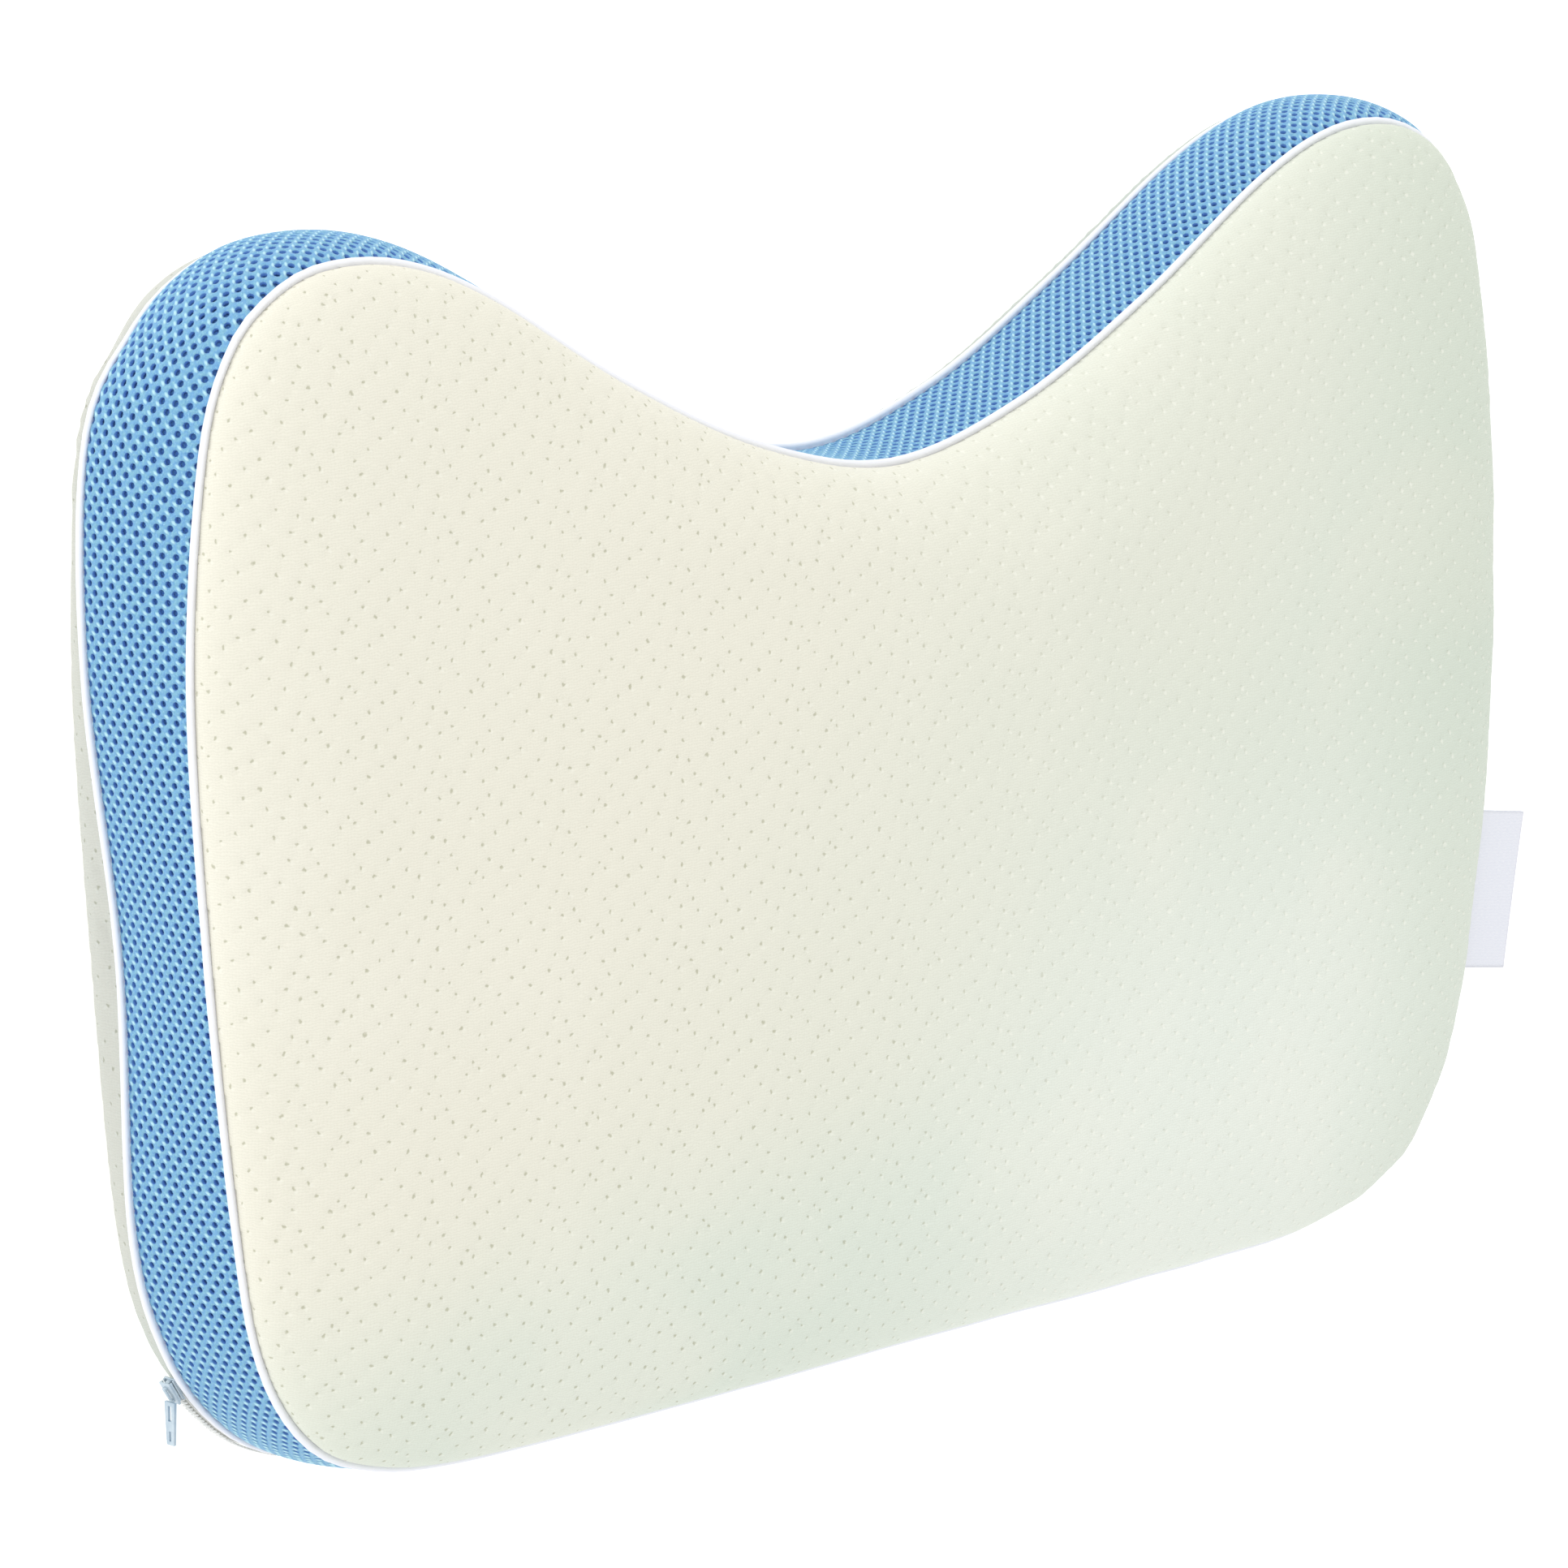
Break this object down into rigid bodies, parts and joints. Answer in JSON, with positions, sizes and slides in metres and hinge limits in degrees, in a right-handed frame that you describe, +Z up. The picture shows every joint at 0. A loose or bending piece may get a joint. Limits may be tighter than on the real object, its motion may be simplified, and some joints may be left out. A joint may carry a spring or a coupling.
{
  "type": "memory foam pillow",
  "caption": "Shaped memory foam pillow in a zipped cover: padded cream jersey front and back, blue spacer-mesh side band, white piping, and a neck cut-out in one long side.",
  "frame": {"origin": "middle of the flat place that the back panel rests on, at half the pillow's width and height", "axes": "+X along the pillow, +Y across it towards the neck cut-out, +Z up, out of the front panel"},
  "size_m": [0.6301, 0.4055, 0.1028],
  "materials": {
    "spacer_mesh": "blue spacer mesh with round holes",
    "padded_jersey": "cream padded jersey, dimpled",
    "piping": "white woven piping",
    "zip_coil": "white coil zip",
    "zip_metal": "light grey-blue paint",
    "label_satin": "white woven satin, blank"
  },
  "bodies": {
    "root": {"side_band": "spacer_mesh", "front_panel": "padded_jersey", "back_panel": "padded_jersey", "piping_front": "piping", "piping_rear": "piping", "zip_chain": "zip_coil", "zip_slider": "zip_metal", "zip_pull": "zip_metal", "side_label": "label_satin"}
  },
  "joints": []
}
